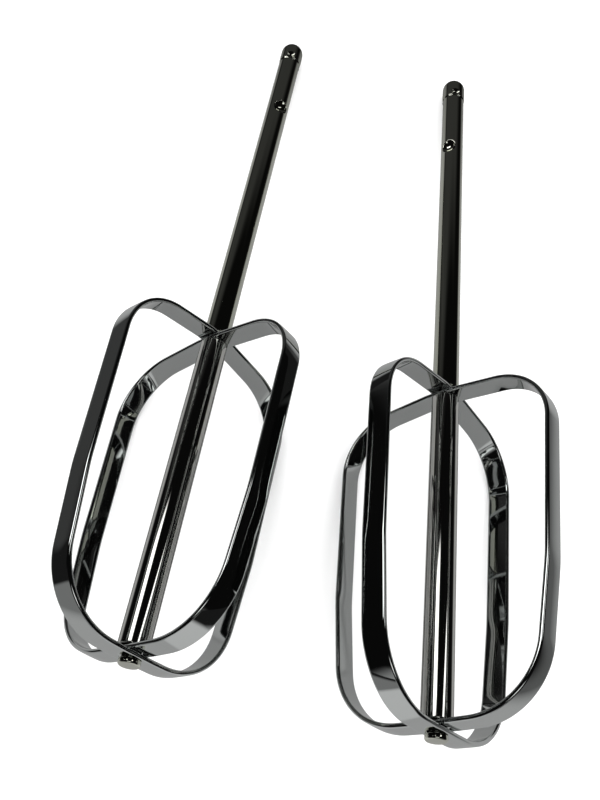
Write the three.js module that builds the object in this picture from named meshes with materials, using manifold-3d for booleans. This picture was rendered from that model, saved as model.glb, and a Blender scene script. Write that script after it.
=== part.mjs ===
// A matched pair of chromed mixer beaters, lying side by side on a level surface.
// Millimetres, +Z up, stems pointing along +Y. The origin is under the middle of the pair,
// on the surface that it lies on.
//
// Each beater is a riveted assembly of four pieces: a drive shaft, a spacer tube, and two closed
// loops of flat strip that cross at right angles and make its four blades.
// A beater's own frame has z along its axis, from z = 0 at the lower crossing of the loops to the
// tip of the stem, x in the plane of the inner loop and y in the plane of the outer loop.

import * as THREE from 'three';
import { mergeVertices } from 'three/addons/utils/BufferGeometryUtils.js';
import Module from 'manifold-3d';

const wasm = await Module();
wasm.setup();

// ---- Driving dimensions ----

const LENGTH = 203.8;              // lower crossing to the tip of the stem
const UPPER_CROSSING = 79.75;      // height of the upper crossing of the loops

const STRIP_WIDTH = 5.5;
const STRIP_THICKNESS = 1.05;
const GAP = 0.1;                   // between pieces that the rivet clamps together

const STEM_RADIUS = 3.2;
const TUBE_RADIUS = 3.3;
const CORE_RADIUS = 1.8;           // the part of the shaft inside the tube and the loops
const CORE_CLEARANCE = 0.15;

const RIVET_RADIUS = 2.3;
const RIVET_HEIGHT = 1.2;
const RIVET_FLAT_RADIUS = 1.7;     // the head's end is hammered flat

const DOME_HEIGHT = 2.6;           // rounded end of the stem
const TIP_FLAT_RADIUS = 1.4;
const EAR_LENGTH = 8.7;            // the end of the stem that the pockets swell
const EAR_SWELL = 0.22;            // how far its pressed metal stands out
const POCKET_FROM_TIP = 7.2;
const POCKET_RADIUS = 1.8;         // of the ball that presses a pocket
const POCKET_DEPTH = 0.8;

const DIMPLE_FROM_TIP = 33.2;
const DIMPLE_RADIUS = 3.0;         // of the ball that presses the dimple
const DIMPLE_DEPTH = 1.5;

// The right half of a loop's centre line, from the lower crossing (r = 0) to the upper one.
// Each corner is rounded by an arc of its bend radius. The outer loop passes outside the inner one,
// so its corners near the crossings are moved along z, the way that their apart says.
const LOOP_CORNERS = [
  { r: 3.6, z: 0, bend: 3, apart: -1 },               // edge of the lower seat
  { r: 21.5, z: 0.4, bend: 16, apart: -1 },           // the wide lower bend
  { r: 25.1, z: 30.6, bend: 43.5, apart: 0 },         // the side leans out above here
  { r: 27.2, z: 76.7, bend: 13.9, apart: 0 },         // upper shoulder
  { r: 3.6, z: UPPER_CROSSING, bend: 2, apart: 1 },   // edge of the upper seat
];
// Both loops are bent from the same length of strip, so the lower, inner one is wider.
const LOOP_SPREAD = 0.5;           // by this much at each side, and the outer one is narrower

const SHOULDER_CHAMFER = 0.3;      // at the foot of the stem

const ROUND_SIDES = 28;            // facets round a shaft or tube
const FACET_TURN = Math.PI / 16;   // most that a loop turns between two facets
const DOME_STEPS = 5;              // facets from the side of a dome to its flat
const BALL_SIDES = 16;             // facets round the ball that presses a dimple or a pocket
const BALL_RINGS = 10;
const MERGE_DISTANCE = 1e-5;       // vertices of one geometry closer than this are one vertex
const SETTLE_ROUNDS = 30;          // enough for the resting pose to stop changing

const HEADING = { right: -1.06, left: 1.06 };  // degrees from +Y, clockwise from above
const CROSSING_AT = { right: [30.3, -2.3], left: [-30.3, 2.3] };  // the lower crossings
// Degrees from +x towards +y. The stems are riveted in at different turns.
const DIMPLE_TURN = { right: 102, left: -22 };

const FINISH = { color: 0xc9cbcc, roughness: 0.07, metalness: 1 };

// ---- Values that follow from them ----

const QUARTER_TURN = Math.PI / 2;
// The outer loop passes outside the inner one at both crossings.
const CROSSING_SHIFT = (STRIP_THICKNESS + GAP) / 2;
const STACK = STRIP_THICKNESS + GAP / 2;               // crossing point to the face of the stack
const BORE_RADIUS = CORE_RADIUS + CORE_CLEARANCE;
const SHOULDER = UPPER_CROSSING + STACK + GAP;         // where the stem meets the outer loop
const TUBE_ENDS = [STACK + GAP, UPPER_CROSSING - STACK - GAP];

// ---- Solids ----

// Joins a closed geometry's shared vertices and hands it to the boolean library.
function toSolid(geometry) {
  const bare = geometry.clone();
  bare.deleteAttribute('normal');
  bare.deleteAttribute('uv');
  const merged = mergeVertices(bare, MERGE_DISTANCE);
  const vertProperties = new Float32Array(merged.attributes.position.array);
  const triVerts = new Uint32Array(merged.index.array);
  const mesh = new wasm.Mesh({ numProp: 3, vertProperties, triVerts });
  return new wasm.Manifold(mesh);
}

function toGeometry(solid) {
  const mesh = solid.getMesh();
  const geometry = new THREE.BufferGeometry();
  geometry.setAttribute('position', new THREE.BufferAttribute(mesh.vertProperties, 3));
  geometry.setIndex(new THREE.BufferAttribute(mesh.triVerts, 1));
  geometry.computeVertexNormals();
  return geometry;
}

function cutAway(geometry, cutters) {
  let solid = toSolid(geometry);
  for (const cutter of cutters) solid = solid.subtract(toSolid(cutter));
  return toGeometry(solid);
}

// A solid of revolution about z, from [radius, z] points.
function turned(points) {
  const profile = points.map(([radius, z]) => new THREE.Vector2(radius, z));
  const lathe = new THREE.LatheGeometry(profile, ROUND_SIDES);
  return lathe.rotateX(QUARTER_TURN);
}

// ---- Blade loops ----

// Points along a line whose corners are rounded, each with the normal on its right-hand side.
function roundedLine(corners) {
  const line = [];
  corners.forEach((corner, i) => {
    const at = new THREE.Vector2(corner.r, corner.z);
    const before = corners[i - 1] ?? { r: corner.r - 1, z: corner.z };
    const after = corners[i + 1] ?? { r: corner.r - 1, z: corner.z };
    const arrive = at.clone().sub(new THREE.Vector2(before.r, before.z)).normalize();
    const leave = new THREE.Vector2(after.r, after.z).sub(at).normalize();
    const turn = Math.atan2(arrive.cross(leave), arrive.dot(leave));
    const bend = corner.bend ?? 0;
    const steps = bend > 0 ? Math.ceil(Math.abs(turn) / FACET_TURN) : 0;
    const start = at.clone().addScaledVector(arrive, -bend * Math.tan(Math.abs(turn) / 2));
    const toCentre = new THREE.Vector2(-arrive.y, arrive.x).multiplyScalar(Math.sign(turn) * bend);
    const centre = start.clone().add(toCentre);
    for (let k = 0; k <= steps; k++) {
      const along = arrive.clone().rotateAround(new THREE.Vector2(), steps ? (turn * k) / steps : 0);
      const normal = new THREE.Vector2(along.y, -along.x);
      const point = steps ? centre.clone().addScaledVector(normal, Math.sign(turn) * bend) : at;
      line.push({ point, normal });
    }
  });
  return line;
}

// The right half of a loop's centre line, outside or inside the other loop at the crossings.
function halfOutline(isOuter) {
  const shift = isOuter ? CROSSING_SHIFT : -CROSSING_SHIFT;
  const corners = LOOP_CORNERS.map(({ r, z, bend, apart }) => {
    const spread = r > STRIP_WIDTH ? LOOP_SPREAD : 0;
    return { r: r + (isOuter ? -spread : spread), z: z + apart * shift, bend };
  });
  return roundedLine([{ r: 0, z: -shift }, ...corners, { r: 0, z: UPPER_CROSSING + shift }]);
}

// A closed strip loop in its crossing plane, drilled for the shaft's core.
function bladeLoop(isOuter) {
  const right = halfOutline(isOuter);
  const left = right.slice(1, -1).reverse().map(({ point, normal }) => ({
    point: new THREE.Vector2(-point.x, point.y),
    normal: new THREE.Vector2(-normal.x, normal.y),
  }));
  const centreLine = [...right, ...left];
  const offset = (distance) => centreLine.map(
    ({ point, normal }) => point.clone().addScaledVector(normal, distance),
  );
  const shape = new THREE.Shape(offset(STRIP_THICKNESS / 2));
  shape.holes.push(new THREE.Path(offset(-STRIP_THICKNESS / 2)));
  const strip = new THREE.ExtrudeGeometry(shape, { depth: STRIP_WIDTH, bevelEnabled: false });
  strip.translate(0, 0, -STRIP_WIDTH / 2).rotateX(QUARTER_TURN);
  if (isOuter) strip.rotateZ(QUARTER_TURN);
  const drill = new THREE.CylinderGeometry(BORE_RADIUS, BORE_RADIUS, LENGTH, ROUND_SIDES);
  return cutAway(strip, [drill.rotateX(QUARTER_TURN)]);
}

// ---- Shaft and tube ----

function spacerTube() {
  const [low, high] = TUBE_ENDS;
  return turned([
    [BORE_RADIUS, low],
    [TUBE_RADIUS, low],
    [TUBE_RADIUS, high],
    [BORE_RADIUS, high],
    [BORE_RADIUS, low],
  ]);
}

// Quarter-ellipse points from a radius on the side up to a flat of the end radius.
function domePoints(radius, endRadius, from, to) {
  const points = [];
  for (let k = 0; k <= DOME_STEPS; k++) {
    const angle = (QUARTER_TURN * k) / DOME_STEPS;
    points.push([
      endRadius + (radius - endRadius) * Math.cos(angle),
      from + (to - from) * Math.sin(angle),
    ]);
  }
  return points;
}

function rivetHead() {
  const top = -STACK - GAP;
  const round = domePoints(RIVET_RADIUS, RIVET_FLAT_RADIUS, top, top - RIVET_HEIGHT).reverse();
  return [[0, top - RIVET_HEIGHT], ...round];
}

// A ball that presses a hollow of the given depth into a stem of the given radius.
function ballCutter(turn, stemRadius, ballRadius, depth, height) {
  const ball = new THREE.SphereGeometry(ballRadius, BALL_SIDES, BALL_RINGS);
  ball.translate(stemRadius - depth + ballRadius, 0, height);
  return ball.rotateZ(turn);
}

function driveShaft(dimpleTurn) {
  const earRadius = STEM_RADIUS + EAR_SWELL;
  const earTop = LENGTH - DOME_HEIGHT;
  const earBottom = LENGTH - EAR_LENGTH;
  const body = turned([
    ...rivetHead(),
    [CORE_RADIUS, -STACK - GAP],
    [CORE_RADIUS, SHOULDER],
    [STEM_RADIUS - SHOULDER_CHAMFER, SHOULDER],
    [STEM_RADIUS, SHOULDER + SHOULDER_CHAMFER],
    [STEM_RADIUS, earBottom],
    [earRadius, earBottom + 2 * EAR_SWELL],
    ...domePoints(earRadius, TIP_FLAT_RADIUS, earTop, LENGTH),
    [0, LENGTH],
  ]);
  // The pockets lie between the planes of the blades.
  const pockets = [0, 1, 2, 3].map((quarter) => ballCutter(
    (quarter + 0.5) * QUARTER_TURN, earRadius, POCKET_RADIUS, POCKET_DEPTH, LENGTH - POCKET_FROM_TIP,
  ));
  const dimples = [dimpleTurn, dimpleTurn + Math.PI].map((turn) => ballCutter(
    turn, STEM_RADIUS, DIMPLE_RADIUS, DIMPLE_DEPTH, LENGTH - DIMPLE_FROM_TIP,
  ));
  return cutAway(body, [...pockets, ...dimples]);
}

// ---- How a beater lies ----

// A beater lies on the two lower shoulders of its loops and on the lowest point of its tip.
// Returns its slope, its turn about its own axis, and the height of its lower crossing.
function restingPose() {
  const loops = [halfOutline(false), halfOutline(true)];
  const tipHeight = LENGTH - DOME_HEIGHT;
  const tipRadius = STEM_RADIUS + EAR_SWELL;
  const halfThickness = STRIP_THICKNESS / 2;
  const halfWidth = STRIP_WIDTH / 2;
  let slope = 0;
  let turn = 0;
  let height = 0;
  for (let round = 0; round < SETTLE_ROUNDS; round++) {
    const shoulders = loops.map((outline, i) => {
      const fromDown = Math.PI / 4 + (i === 0 ? turn : -turn);
      const reach = outline.map(({ point }) => ({
        drop: (point.x + halfThickness) * Math.cos(fromDown) + halfWidth * Math.sin(fromDown),
        z: point.y,
      }));
      const depth = ({ drop, z }) => drop * Math.cos(slope) + z * Math.sin(slope);
      return reach.reduce((low, place) => (depth(place) > depth(low) ? place : low));
    });
    const drop = (shoulders[0].drop + shoulders[1].drop) / 2;
    const z = (shoulders[0].z + shoulders[1].z) / 2;
    turn += (shoulders[0].drop - shoulders[1].drop) / (4 * drop);
    slope = Math.atan2(drop - tipRadius, tipHeight - z);
    height = drop * Math.cos(slope) + z * Math.sin(slope);
  }
  return { slope, turn, height };
}

// ---- The pair ----

function beater(side, pose) {
  const pieces = {
    drive_shaft: driveShaft(THREE.MathUtils.degToRad(DIMPLE_TURN[side])),
    spacer_tube: spacerTube(),
    inner_blade_loop: bladeLoop(false),
    outer_blade_loop: bladeLoop(true),
  };
  const spun = new THREE.Group();
  for (const [name, geometry] of Object.entries(pieces)) {
    const mesh = new THREE.Mesh(geometry, new THREE.MeshStandardMaterial(FINISH));
    mesh.name = `${side}_${name}`;
    spun.add(mesh);
  }
  // The inner loop's upper blade leans to the right and the outer loop's to the left.
  spun.rotation.z = -Math.PI / 4 + pose.turn;
  const sloped = new THREE.Group();
  sloped.rotation.x = -QUARTER_TURN - pose.slope;
  sloped.add(spun);
  const placed = new THREE.Group();
  placed.rotation.z = -THREE.MathUtils.degToRad(HEADING[side]);
  placed.position.set(...CROSSING_AT[side], pose.height);
  placed.add(sloped);
  return placed;
}

const pose = restingPose();
const pair = new THREE.Group();
pair.add(beater('right', pose), beater('left', pose));

// Put the origin under the middle of the pair.
const box = new THREE.Box3().setFromObject(pair, true);
const middle = box.getCenter(new THREE.Vector3());
pair.position.set(-middle.x, -middle.y, -box.min.z);

export default pair;
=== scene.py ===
"""The looks of a matched pair of chromed mixer beaters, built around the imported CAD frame.

Lengths are in millimetres in a beater's own frame, z along its axis from the lower crossing of its
blades to the tip of its stem, x in the plane of its inner loop and y in the plane of its outer loop.
Everything handed to Blender is in metres in the row's frame.
"""

import math

import bpy
import numpy as np
from mathutils import Matrix, Vector

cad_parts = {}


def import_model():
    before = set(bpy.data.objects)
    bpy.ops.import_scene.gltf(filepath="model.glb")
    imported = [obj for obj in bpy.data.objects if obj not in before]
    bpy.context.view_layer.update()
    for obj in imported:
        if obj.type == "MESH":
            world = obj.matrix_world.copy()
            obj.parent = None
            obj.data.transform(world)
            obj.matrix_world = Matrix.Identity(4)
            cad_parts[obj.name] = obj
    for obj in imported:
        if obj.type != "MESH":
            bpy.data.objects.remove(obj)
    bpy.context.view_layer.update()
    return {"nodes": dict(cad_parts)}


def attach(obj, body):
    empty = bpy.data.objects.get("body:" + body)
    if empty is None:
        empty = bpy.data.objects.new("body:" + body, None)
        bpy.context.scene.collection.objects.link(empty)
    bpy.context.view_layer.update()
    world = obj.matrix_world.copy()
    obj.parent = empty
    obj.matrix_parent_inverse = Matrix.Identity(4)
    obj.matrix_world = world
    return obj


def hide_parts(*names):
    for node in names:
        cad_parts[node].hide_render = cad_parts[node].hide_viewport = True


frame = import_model()

MM = 0.001
QUARTER = math.pi / 2
SIDEWAYS = Vector((1, 0, 0))
FORWARD = Vector((0, 1, 0))
UPWARD = Vector((0, 0, 1))
STRAIGHT = 1e-6            # a turn smaller than this, in radians, is none

# ---- Driving dimensions, the same as the CAD part's ----

LENGTH = 203.8
UPPER_CROSSING = 79.75
STRIP_WIDTH = 5.5
STRIP_THICKNESS = 1.05
GAP = 0.1
STEM_RADIUS = 3.2
TUBE_RADIUS = 3.3
CORE_RADIUS = 1.8
CORE_CLEARANCE = 0.15
RIVET_RADIUS = 2.3
RIVET_HEIGHT = 1.2
DOME_HEIGHT = 2.6
TIP_FLAT_RADIUS = 1.4
EAR_LENGTH = 8.7
EAR_SWELL = 0.22
POCKET_FROM_TIP = 7.2
POCKET_RADIUS = 1.8
POCKET_DEPTH = 0.8
DIMPLE_FROM_TIP = 33.2
DIMPLE_RADIUS = 3.0
DIMPLE_DEPTH = 1.5
DIMPLE_TURN = {"right": math.radians(102), "left": math.radians(-22)}

# A loop's half centre line as (r, z, bend radius, apart), from the lower crossing to the upper one.
# The outer loop's corners are moved along z by apart crossing shifts, and the inner loop's oppositely.
LOOP_CORNERS = (
    (3.6, 0.0, 3.0, -1),
    (21.5, 0.4, 16.0, -1),
    (25.1, 30.6, 43.5, 0),
    (27.2, 76.7, 13.9, 0),
    (3.6, UPPER_CROSSING, 2.0, 1),
)
LOOP_SPREAD = 0.5          # the inner loop is wider by this at each side, the outer one narrower

# ---- Roundings of edges, which the CAD part leaves sharp or chamfered ----

EDGE_ROUND = 0.42          # the strip's rolled edges
STRIP_CROWN = 0.04         # how far the strip's faces bulge
RIM_SOFTNESS = 0.2         # over which the rim of a pressed hollow is rounded
RIVET_ROUND = 0.5          # the rivet's hammered end
RIVET_SEAT_ROUND = 0.12
SHOULDER_ROUND = 0.3       # foot of the stem
EAR_ROUND = 0.5            # where the pressed end swells
TUBE_ROUND = 0.35
BORE_ROUND = 0.3

# ---- Values that follow from them ----

CROSSING_SHIFT = (STRIP_THICKNESS + GAP) / 2
STACK = STRIP_THICKNESS + GAP / 2
BORE_RADIUS = CORE_RADIUS + CORE_CLEARANCE
SHOULDER = UPPER_CROSSING + STACK + GAP
TUBE_ENDS = (STACK + GAP, UPPER_CROSSING - STACK - GAP)

# ---- Fineness of the meshes ----

ROUND_SIDES = 160          # round a stem or a tube
HOLE_SIDES = 48
BEND_STEP = math.radians(2.5)        # round a bend of a loop
EDGE_STEP = math.radians(9)          # round an edge of a shaft
TUBE_EDGE_STEP = math.radians(12)
STRIP_STEP = 2.0           # longest step along a straight stretch of strip
FACE_PLACES = (-1.0, -0.97, -0.6, 0.0, 0.6, 0.97)  # across the strip's face, as shares of half its flat
EDGE_PIECES = 8            # round the strip's rolled edge
DOME_PIECES = 18           # from the side of the stem to its end
FINE_RING = 0.12           # ring spacing where the stem is pressed
DIMPLE_MARGIN = 0.4        # fine rings reach past a dimple by this
POLE_RADIUS = 0.05         # of the first ring of a closed end
SEAM = 0.01                # between the first and the last point of a tube's profile


# ---- The finishes ----

# By slot: colour, how drawn-out the fine lines are per millimetre (across, along), roughness, and
# how high the slow waves stand in millimetres
FINISHES = {
    "polished_stem": ((0.62, 0.63, 0.55), (1.2, 0.05), 0.03, 0.004),
    "bright_tube": ((0.63, 0.63, 0.60), (3.0, 0.03), 0.04, 0.006),
    "bright_strip": ((0.61, 0.63, 0.62), (1.6, 0.04), 0.035, 0.010),
}
RIPPLE_SCALE = 110.0       # waves and haze to a metre
HAZE_SCALE = 60.0
LINE_HEIGHT = 0.002        # in millimetres
LINE_STRENGTH = 0.35
CLEAR = (0.3, 0.7)         # where the haze is this thin, the roughness is this share of its value
HAZY = (0.75, 1.5)
HAZE_TINT = 0.97           # thin haze darkens the colour to this share


# ---- The studio ----

FLOOR_SIZE = 3.0
FLOOR_SHADE = 0.95
DOME_LIGHT = 1.7           # even light on the floor
ROOM_SHADE = 0.004
# Panels in the room: azimuth, elevation, tilt, half width, half height, softness, strength
PANELS = (
    (-55, 48, -45, 16, 7.5, 0.2, 3.0),
    (57, 48, 0, 2.5, 14, 0.4, 2.5),
    (180, 52, 0, 16, 7, 0.3, 1.5),
    (-12, 12, 0, 34, 24, 0.3, 0.038),
    (-50, 10, 0, 7, 12, 0.3, 0.02),
    (180, 0, 0, 38, 9, 0.3, 0.40),
)
# Painted light on the floor, seen only by rays other than the camera's, which the steel mirrors: sheets of
# painted light that spread from under the cages over a painted dark floor. Columns: azimuth, half width or
# None for all round, softness, the distances at which it starts and ends fading, strength
FLOOR_MIDDLE = (0.0, -0.06, 0.0)
# Painted shade: the floor's dark colour under the sheets of painted light, seen only by rays other than the
# camera's
PAINTED_FLOOR_SHADE = 0.008
PAINTED_FLOOR_LIGHT = (
    (0, None, 0.0, 0.12, 0.22, 0.47),
    (177, 21, 0.20, 0.40, 0.80, 0.65),
    (-159, 46, 0.04, 0.50, 1.00, 0.23),
    (85, 45, 0.30, 0.18, 0.36, 0.135),
    (-68, 20, 0.30, 0.30, 0.60, 0.055),
)

# ---- The camera ----

CAMERA_AT = (-0.0055, -0.13255, 0.21125)
CAMERA_AZIMUTH = 0.22      # anticlockwise from +Y, in degrees
CAMERA_ELEVATION = 62.04
CAMERA_ROLL = 9.08
CAMERA_LENS = 40.83
SENSOR_WIDTH = 36.0


# ---- Where each beater lies ----


def node_points(node):
    vertices = frame["nodes"][node].data.vertices
    return np.array([v.co for v in vertices])


def principal_axes(points):
    """The directions in which points spread, widest first, as rows."""
    return np.linalg.svd(points - points.mean(axis=0), full_matrices=False)[2]


def beater_matrix(side):
    """From a beater's own millimetres to the row's metres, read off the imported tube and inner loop."""
    tube = node_points(f"{side}_spacer_tube")
    centre = (tube.max(axis=0) + tube.min(axis=0)) / 2
    axis = Vector(principal_axes(tube)[0])
    if axis.y < 0:
        axis.negate()
    across = Vector(principal_axes(node_points(f"{side}_inner_blade_loop"))[1])
    if across.z < 0:
        across.negate()
    x_axis = (across - axis * across.dot(axis)).normalized()
    y_axis = axis.cross(x_axis)
    crossing = Vector(centre) - axis * (UPPER_CROSSING / 2 * MM)
    turned = Matrix((x_axis, y_axis, axis)).transposed().to_4x4()
    return Matrix.Translation(crossing) @ turned @ Matrix.Scale(MM, 4)


# ---- Mesh building ----


def mesh_object(name, points, faces, matrix, uv=None):
    """A smooth-shaded object from points, faces and one (u, v) in millimetres for each face corner."""
    mesh = bpy.data.meshes.new(name)
    mesh.from_pydata([tuple(p) for p in points], [], faces)
    if uv is not None:
        layer = mesh.uv_layers.new(name="surface_mm")
        for loop, pair in zip(layer.data, uv):
            loop.uv = pair
    mesh.transform(matrix)
    mesh.shade_smooth()
    mesh.validate()
    obj = bpy.data.objects.new(name, mesh)
    bpy.context.scene.collection.objects.link(obj)
    return obj


def ring_mesh(rings, close_ends=False, wrap=False):
    """Faces and corner (u, v)s of a tube through rings of points, all with the same count.

    close_ends caps the first and last ring; wrap joins the last ring back to the first.
    """
    count = len(rings[0])
    total = len(rings)
    points = [p for ring in rings for p in ring]
    ring_length = sum(
        math.dist(rings[0][k], rings[0][(k + 1) % count]) for k in range(count)
    )
    along = [0.0]
    for a, b in zip(rings, rings[1:] + rings[:1]):
        middle_a = np.mean(a, axis=0)
        middle_b = np.mean(b, axis=0)
        step = max(float(np.linalg.norm(middle_b - middle_a)), math.dist(a[0], b[0]))
        along.append(along[-1] + step)
    faces = []
    uv = []
    for i in range(total if wrap else total - 1):
        j = (i + 1) % total
        for k in range(count):
            k_next = (k + 1) % count
            faces.append((i * count + k, i * count + k_next, j * count + k_next, j * count + k))
            u0, u1 = ring_length * k / count, ring_length * (k + 1) / count
            v0, v1 = along[i], along[i + 1]
            uv += [(u0, v0), (u1, v0), (u1, v1), (u0, v1)]
    if close_ends:
        first = tuple(range(count))[::-1]
        last = tuple(range((total - 1) * count, total * count))
        for cap in (first, last):
            faces.append(cap)
            uv += [(points[p][0], points[p][1]) for p in cap]
    return points, faces, uv


def drill(obj, matrix, radius, low, high):
    """Cuts a round hole along the beater's axis, from low to high."""
    turns = np.linspace(0, 2 * math.pi, HOLE_SIDES + 1)[:-1]
    rings = [[(radius * math.cos(a), radius * math.sin(a), z) for a in turns] for z in (low, high)]
    points, faces, _ = ring_mesh(rings, close_ends=True)
    cutter = mesh_object("drill", points, faces, matrix)
    hole = obj.modifiers.new("hole", "BOOLEAN")
    hole.operation = "DIFFERENCE"
    hole.solver = "EXACT"
    hole.object = cutter
    bpy.context.view_layer.update()
    evaluated = obj.evaluated_get(bpy.context.evaluated_depsgraph_get())
    cut = bpy.data.meshes.new_from_object(evaluated)
    obj.modifiers.clear()
    obj.data = cut
    bpy.data.objects.remove(cutter)


def rounded_line(corners, step=BEND_STEP):
    """Points and right-hand normals along a line of (r, z, bend) corners, each rounded by its bend."""
    line = []
    last = len(corners) - 1
    for i, (r, z, bend) in enumerate(corners):
        at = Vector((r, z))
        arrive = at - Vector(corners[i - 1][:2]) if i else None
        leave = Vector(corners[i + 1][:2]) - at if i < last else None
        arrive = (arrive or leave).normalized()
        leave = (leave or arrive).normalized()
        turn = math.atan2(arrive.x * leave.y - arrive.y * leave.x, arrive.dot(leave))
        if bend == 0 or abs(turn) < STRAIGHT:
            line.append((at, Vector((arrive.y, -arrive.x))))
            continue
        side = math.copysign(1.0, turn)
        start = at - arrive * (bend * math.tan(abs(turn) / 2))
        centre = start + Vector((-arrive.y, arrive.x)) * side * bend
        steps = max(2, math.ceil(abs(turn) / step))
        for k in range(steps + 1):
            angle = turn * k / steps
            cos, sin = math.cos(angle), math.sin(angle)
            along = Vector((arrive.x * cos - arrive.y * sin, arrive.x * sin + arrive.y * cos))
            normal = Vector((along.y, -along.x))
            line.append((centre + normal * side * bend, normal))
    return line


def fill_gaps(line, longest):
    """Adds points along the straight stretches of a line, so that no step is longer than longest."""
    filled = [line[0]]
    for (a, normal_a), (b, normal_b) in zip(line, line[1:]):
        pieces = max(1, math.ceil((b - a).length / longest))
        for k in range(1, pieces + 1):
            share = k / pieces
            filled.append((a.lerp(b, share), normal_a.lerp(normal_b, share).normalized()))
    return filled


# ---- Blade loops ----


def half_outline(is_outer):
    shift = CROSSING_SHIFT if is_outer else -CROSSING_SHIFT
    corners = [(0.0, -shift, 0.0)]
    for r, z, bend, apart in LOOP_CORNERS:
        spread = LOOP_SPREAD if r > STRIP_WIDTH else 0.0
        corners.append((r - spread if is_outer else r + spread, z + apart * shift, bend))
    corners.append((0.0, UPPER_CROSSING + shift, 0.0))
    return fill_gaps(rounded_line(corners), STRIP_STEP)


def strip_section():
    """The rolled strip's section as (across the width, through the thickness), edges rounded."""
    half_width = STRIP_WIDTH / 2
    half_thickness = STRIP_THICKNESS / 2
    flat = half_width - EDGE_ROUND
    section = []
    for side in (1, -1):
        for share in FACE_PLACES:
            crown = STRIP_CROWN * (1 - share * share)
            section.append((side * share * flat, -side * (half_thickness + crown)))
        for k in range(EDGE_PIECES + 1):
            angle = -QUARTER + math.pi * k / EDGE_PIECES
            rise = half_thickness - EDGE_ROUND
            centre = math.copysign(rise, angle) if 2 * k != EDGE_PIECES else 0.0
            across = flat + EDGE_ROUND * math.cos(angle)
            through = centre + EDGE_ROUND * math.sin(angle)
            section.append((side * across, side * through))
    return section


def blade_loop(side, is_outer, matrix):
    right = half_outline(is_outer)
    left = [(Vector((-p.x, p.y)), Vector((-n.x, n.y))) for p, n in right[-2:0:-1]]
    rings = []
    for point, normal in right + left:
        ring = []
        for across, through in strip_section():
            r = point.x + normal.x * through
            z = point.y + normal.y * through
            ring.append((-across, r, z) if is_outer else (r, across, z))
        rings.append(ring)
    points, faces, uv = ring_mesh(rings, wrap=True)
    name = "outer" if is_outer else "inner"
    loop = mesh_object(f"{side}_{name}_blades", points, faces, matrix, uv)
    seat = -CROSSING_SHIFT if is_outer else CROSSING_SHIFT
    for height in (seat, UPPER_CROSSING - seat):
        drill(loop, matrix, BORE_RADIUS, height - STRIP_THICKNESS, height + STRIP_THICKNESS)
    return loop


# ---- Stem, tube, and rivet ----


def soft_min(a, b, width):
    """The smaller of a and b, with the corner between them rounded over about width."""
    overlap = max(width - abs(a - b), 0.0) / width
    return min(a, b) - overlap * overlap * width / 4


def stem_hollows(dimple_turn):
    """The pressed hollows as (turn, stem radius, ball radius, depth, height), pockets and dimples."""
    ear = STEM_RADIUS + EAR_SWELL
    hollows = []
    for quarter in range(4):
        turn = (quarter + 0.5) * QUARTER
        hollows.append((turn, ear, POCKET_RADIUS, POCKET_DEPTH, LENGTH - POCKET_FROM_TIP))
    for turn in (dimple_turn, dimple_turn + math.pi):
        hollows.append((turn, STEM_RADIUS, DIMPLE_RADIUS, DIMPLE_DEPTH, LENGTH - DIMPLE_FROM_TIP))
    return hollows


def hollow_radius(angle, z, turn, stem_radius, ball_radius, depth, height):
    """How far from the beater's axis a pressing ball's surface lies in the direction of angle."""
    away = (angle - turn + math.pi) % (2 * math.pi) - math.pi
    distance = stem_radius - depth + ball_radius
    reach = ball_radius**2 - (z - height) ** 2 - (distance * math.sin(away)) ** 2
    if abs(away) > QUARTER or reach <= 0:
        return math.inf
    return distance * math.cos(away) - math.sqrt(reach)


def revolve(name, profile, matrix, shape=None, wrap=False):
    """A solid of revolution through (r, z) points; shape(r, angle, z) presses its surface."""
    rings = []
    for point in profile:
        ring = []
        for k in range(ROUND_SIDES):
            angle = 2 * math.pi * k / ROUND_SIDES
            r = shape(point.x, angle, point.y) if shape else point.x
            ring.append((r * math.cos(angle), r * math.sin(angle), point.y))
        rings.append(ring)
    points, faces, uv = ring_mesh(rings, close_ends=not wrap, wrap=wrap)
    return mesh_object(name, points, faces, matrix, uv)


def only_points(line):
    return [point for point, _ in line]


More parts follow.
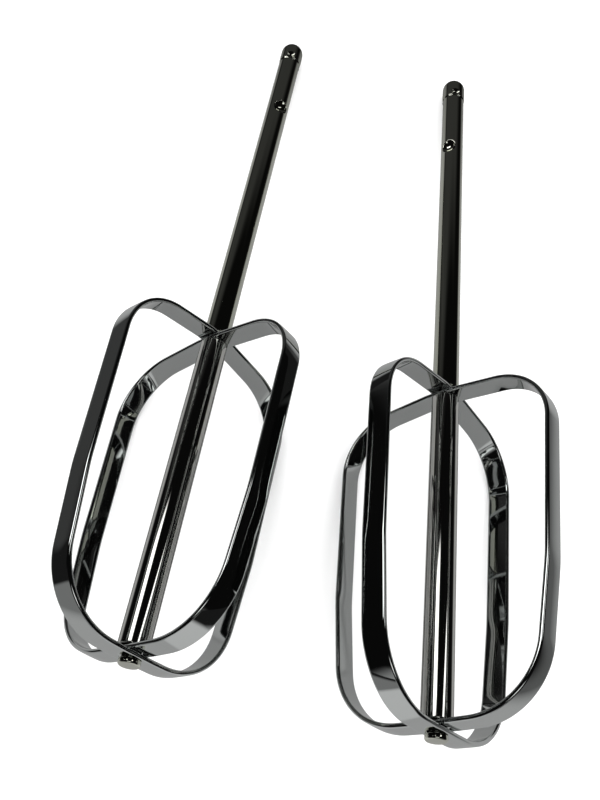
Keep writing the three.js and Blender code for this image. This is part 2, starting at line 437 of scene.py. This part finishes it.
def drive_shaft(side, matrix):
    ear = STEM_RADIUS + EAR_SWELL
    rivet_top = -STACK - GAP
    rivet_low = rivet_top - RIVET_HEIGHT
    below = [
        (POLE_RADIUS, rivet_low, 0.0),
        (RIVET_RADIUS, rivet_low, RIVET_ROUND),
        (RIVET_RADIUS, rivet_top, RIVET_SEAT_ROUND),
        (CORE_RADIUS, rivet_top, 0.0),
        (CORE_RADIUS, SHOULDER, 0.0),
        (STEM_RADIUS, SHOULDER, SHOULDER_ROUND),
        (STEM_RADIUS, LENGTH - DIMPLE_FROM_TIP - DIMPLE_RADIUS - DIMPLE_MARGIN, 0.0),
    ]
    past_dimple = Vector((STEM_RADIUS, LENGTH - DIMPLE_FROM_TIP + DIMPLE_RADIUS + DIMPLE_MARGIN))
    ears = [
        (STEM_RADIUS, LENGTH - EAR_LENGTH - EAR_ROUND, 0.0),
        (STEM_RADIUS, LENGTH - EAR_LENGTH, EAR_ROUND),
        (ear, LENGTH - EAR_LENGTH + 2 * EAR_SWELL, EAR_ROUND),
        (ear, LENGTH - DOME_HEIGHT, 0.0),
    ]
    dome = []
    for k in range(1, DOME_PIECES + 1):
        angle = QUARTER * k / DOME_PIECES
        r = TIP_FLAT_RADIUS + (ear - TIP_FLAT_RADIUS) * math.cos(angle)
        dome.append(Vector((r, LENGTH - DOME_HEIGHT + DOME_HEIGHT * math.sin(angle))))
    lower = rounded_line(below, EDGE_STEP)
    dimpled = fill_gaps([lower[-1], (past_dimple, lower[-1][1])], FINE_RING)
    tip = fill_gaps(rounded_line(ears, EDGE_STEP), FINE_RING)
    profile = only_points(lower) + only_points(dimpled[1:]) + only_points(tip) + dome

    hollows = stem_hollows(DIMPLE_TURN[side])

    def shape(r, angle, z):
        for hollow in hollows:
            r = soft_min(r, hollow_radius(angle, z, *hollow), RIM_SOFTNESS)
        return r

    return revolve(f"{side}_shaft", profile, matrix, shape)


def spacer_tube(side, matrix):
    low, high = TUBE_ENDS
    middle = (low + high) / 2
    corners = [
        (BORE_RADIUS, middle, 0.0),
        (BORE_RADIUS, low, BORE_ROUND),
        (TUBE_RADIUS, low, TUBE_ROUND),
        (TUBE_RADIUS, high, TUBE_ROUND),
        (BORE_RADIUS, high, BORE_ROUND),
        (BORE_RADIUS, middle + SEAM, 0.0),
    ]
    profile = only_points(rounded_line(corners, TUBE_EDGE_STEP))
    return revolve(f"{side}_tube", profile, matrix, wrap=True)


# ---- Materials ----


class Nodes:
    """A short way to lay out one material's nodes."""

    def __init__(self, material):
        material.use_nodes = True
        self.tree = material.node_tree
        self.tree.nodes.clear()

    def add(self, kind, settings=None, **inputs):
        node = self.tree.nodes.new(kind)
        for key, value in (settings or {}).items():
            setattr(node, key, value)
        for key, value in inputs.items():
            socket = node.inputs[key.replace("_", " ")]
            if isinstance(value, bpy.types.NodeSocket):
                self.tree.links.new(value, socket)
            else:
                socket.default_value = value
        return node

    def math(self, operation, *values):
        node = self.tree.nodes.new("ShaderNodeMath")
        node.operation = operation
        for socket, value in zip(node.inputs, values):
            if isinstance(value, bpy.types.NodeSocket):
                self.tree.links.new(value, socket)
            else:
                socket.default_value = value
        return node.outputs[0]

    def vector(self, operation, a, b):
        node = self.tree.nodes.new("ShaderNodeVectorMath")
        node.operation = operation
        self.tree.links.new(a, node.inputs[0])
        node.inputs[1].default_value = b
        return node.outputs["Vector" if operation == "SUBTRACT" else "Value"]

    def fade(self, value, full, none):
        """One where value is at most full, smoothly down to nothing at none."""
        settings = {"interpolation_type": "SMOOTHSTEP"}
        node = self.add("ShaderNodeMapRange", settings, Value=value, From_Min=none, From_Max=full)
        return node.outputs["Result"]

    def ramp(self, factor, low, high):
        """A colour ramp from one (place, brightness) to another."""
        node = self.add("ShaderNodeValToRGB", Fac=factor)
        for element, (place, value) in zip(node.color_ramp.elements, (low, high)):
            element.position = place
            element.color = (value, value, value, 1)
        return node.outputs["Color"]


def chrome(name, colour, stretch, roughness, waviness):
    """Bright chrome plate with fine drawn lines, slow waves and faint haze."""
    material = bpy.data.materials.new(name)
    nodes = Nodes(material)
    surface = nodes.add("ShaderNodeUVMap", {"uv_map": "surface_mm"}).outputs["UV"]
    place = nodes.add("ShaderNodeTexCoord").outputs["Object"]

    drawn = nodes.add("ShaderNodeMapping", Vector=surface, Scale=(*stretch, 1)).outputs["Vector"]
    lines = nodes.add("ShaderNodeTexNoise", Vector=drawn, Scale=1.0, Detail=4.0).outputs["Fac"]
    ripple = nodes.add("ShaderNodeTexNoise", Vector=place, Scale=RIPPLE_SCALE, Detail=1.0).outputs["Fac"]
    haze = nodes.add("ShaderNodeTexNoise", Vector=place, Scale=HAZE_SCALE, Detail=5.0).outputs["Fac"]

    rough = nodes.ramp(haze, (CLEAR[0], roughness * CLEAR[1]), (HAZY[0], roughness * HAZY[1]))
    tint = nodes.add("ShaderNodeMix", {"data_type": "RGBA"}, Factor=haze)
    tint.inputs[6].default_value = (*[c * HAZE_TINT for c in colour], 1)
    tint.inputs[7].default_value = (*colour, 1)

    waves = nodes.add("ShaderNodeBump", Strength=1.0, Distance=waviness * MM, Height=ripple)
    fine = nodes.add(
        "ShaderNodeBump",
        Strength=LINE_STRENGTH, Distance=LINE_HEIGHT * MM, Height=lines, Normal=waves.outputs["Normal"],
    )
    shader = nodes.add(
        "ShaderNodeBsdfPrincipled",
        Base_Color=tint.outputs[2], Metallic=1.0, Roughness=rough, Normal=fine.outputs["Normal"],
    )
    nodes.add("ShaderNodeOutputMaterial", Surface=shader.outputs["BSDF"])
    return material


def finish_piece(obj, material, body, replaced):
    obj.data.materials.clear()
    obj.data.materials.append(material)
    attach(obj, body)
    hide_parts(replaced)


# ---- The pair ----


def make_beaters():
    stem, tube, strip = [chrome(slot, *finish) for slot, finish in FINISHES.items()]
    for side in ("right", "left"):
        body = f"{side}_beater"
        matrix = beater_matrix(side)
        finish_piece(drive_shaft(side, matrix), stem, body, f"{side}_drive_shaft")
        finish_piece(spacer_tube(side, matrix), tube, body, f"{side}_spacer_tube")
        for name in ("inner", "outer"):
            loop = blade_loop(side, name == "outer", matrix)
            finish_piece(loop, strip, body, f"{side}_{name}_blade_loop")


# ---- Studio and camera ----


def fan(nodes, direction, turn, axis, half, softness):
    """One where direction is within half degrees of turn's forward direction, measured along axis."""
    ahead = nodes.vector("DOT_PRODUCT", direction, turn @ FORWARD)
    across = nodes.vector("DOT_PRODUCT", direction, turn @ axis)
    off = nodes.math("ABSOLUTE", nodes.math("DIVIDE", across, ahead))
    inner = math.tan(math.radians(half * (1 - softness)))
    outer = math.tan(math.radians(half * (1 + softness)))
    return nodes.math("MULTIPLY", nodes.math("GREATER_THAN", ahead, 0.0), nodes.fade(off, inner, outer))


def floor():
    """A floor that is evenly pale to the camera; to every other ray its colour is painted light and shade,
    sheets of painted light over a painted dark floor, which the steel mirrors.
    """
    mesh = bpy.data.meshes.new("floor")
    half = FLOOR_SIZE / 2
    corners = [(-half, -half, 0), (half, -half, 0), (half, half, 0), (-half, half, 0)]
    mesh.from_pydata(corners, [], [(0, 1, 2, 3)])
    obj = bpy.data.objects.new("floor", mesh)
    bpy.context.scene.collection.objects.link(obj)
    material = bpy.data.materials.new("pale_floor_painted_light")
    nodes = Nodes(material)
    place = nodes.add("ShaderNodeNewGeometry").outputs["Position"]
    direction = nodes.vector("SUBTRACT", place, FLOOR_MIDDLE)
    distance = nodes.vector("DISTANCE", place, FLOOR_MIDDLE)
    # Painted shade: to every ray but the camera's the floor starts dark, and sheets of painted light are
    # laid over it
    mirrored = PAINTED_FLOOR_SHADE
    for azimuth, half_width, softness, near, far, strength in PAINTED_FLOOR_LIGHT:
        # Each sheet of painted light, divided by the dome's light so that its strength is the brightness the
        # steel mirrors
        painted_sheet = nodes.math("MULTIPLY", nodes.fade(distance, near, far), strength / DOME_LIGHT)
        if half_width is not None:
            turn = Matrix.Rotation(math.radians(-azimuth), 3, "Z")
            spread = fan(nodes, direction, turn, SIDEWAYS, half_width, softness)
            painted_sheet = nodes.math("MULTIPLY", painted_sheet, spread)
        mirrored = nodes.math("MAXIMUM", mirrored, painted_sheet)
    # The camera sees the evenly pale floor; all other rays see the painted light and shade
    seen = nodes.add("ShaderNodeLightPath").outputs["Is Camera Ray"]
    shade = nodes.add("ShaderNodeMix", {"data_type": "FLOAT"}, Factor=seen, A=mirrored, B=FLOOR_SHADE)
    surface = nodes.add("ShaderNodeBsdfDiffuse", Color=shade.outputs[0])
    nodes.add("ShaderNodeOutputMaterial", Surface=surface.outputs["BSDF"])
    mesh.materials.append(material)


def panel(nodes, direction, azimuth, elevation, tilt, half_width, half_height, softness, strength):
    """The light of one soft panel, far away. Angles in degrees, azimuth clockwise from +Y."""
    turn = Matrix.Rotation(math.radians(-azimuth), 3, "Z") @ Matrix.Rotation(math.radians(elevation), 3, "X")
    turn = turn @ Matrix.Rotation(math.radians(tilt), 3, "Y")
    across = fan(nodes, direction, turn, SIDEWAYS, half_width, softness)
    upright = fan(nodes, direction, turn, UPWARD, half_height, softness)
    return nodes.math("MULTIPLY", nodes.math("MULTIPLY", across, upright), strength)


def world():
    """Even white light on the floor, and a dark room with a few soft panels for the steel to mirror."""
    made = bpy.data.worlds.new("studio")
    bpy.context.scene.world = made
    nodes = Nodes(made)
    direction = nodes.add("ShaderNodeTexCoord").outputs["Generated"]
    room = ROOM_SHADE
    for settings in PANELS:
        room = nodes.math("ADD", room, panel(nodes, direction, *settings))
    mirrored = nodes.add("ShaderNodeLightPath").outputs["Is Glossy Ray"]
    light = nodes.add("ShaderNodeMix", {"data_type": "FLOAT"}, Factor=mirrored, A=DOME_LIGHT, B=room)
    surface = nodes.add("ShaderNodeBackground", Color=light.outputs[0])
    nodes.add("ShaderNodeOutputWorld", Surface=surface.outputs["Background"])
    made.cycles.sampling_method = "NONE"


def camera():
    data = bpy.data.cameras.new("camera")
    data.lens = CAMERA_LENS
    data.sensor_width = SENSOR_WIDTH
    data.clip_start = 0.01
    obj = bpy.data.objects.new("camera", data)
    bpy.context.scene.collection.objects.link(obj)
    turn = Matrix.Rotation(math.radians(CAMERA_AZIMUTH), 4, "Z")
    tip = Matrix.Rotation(math.radians(90 - CAMERA_ELEVATION), 4, "X")
    spin = Matrix.Rotation(math.radians(CAMERA_ROLL), 4, "Z")
    obj.matrix_world = Matrix.Translation(CAMERA_AT) @ turn @ tip @ spin
    bpy.context.scene.camera = obj


make_beaters()
floor()
world()
camera()
bpy.context.scene.view_settings.view_transform = "Standard"
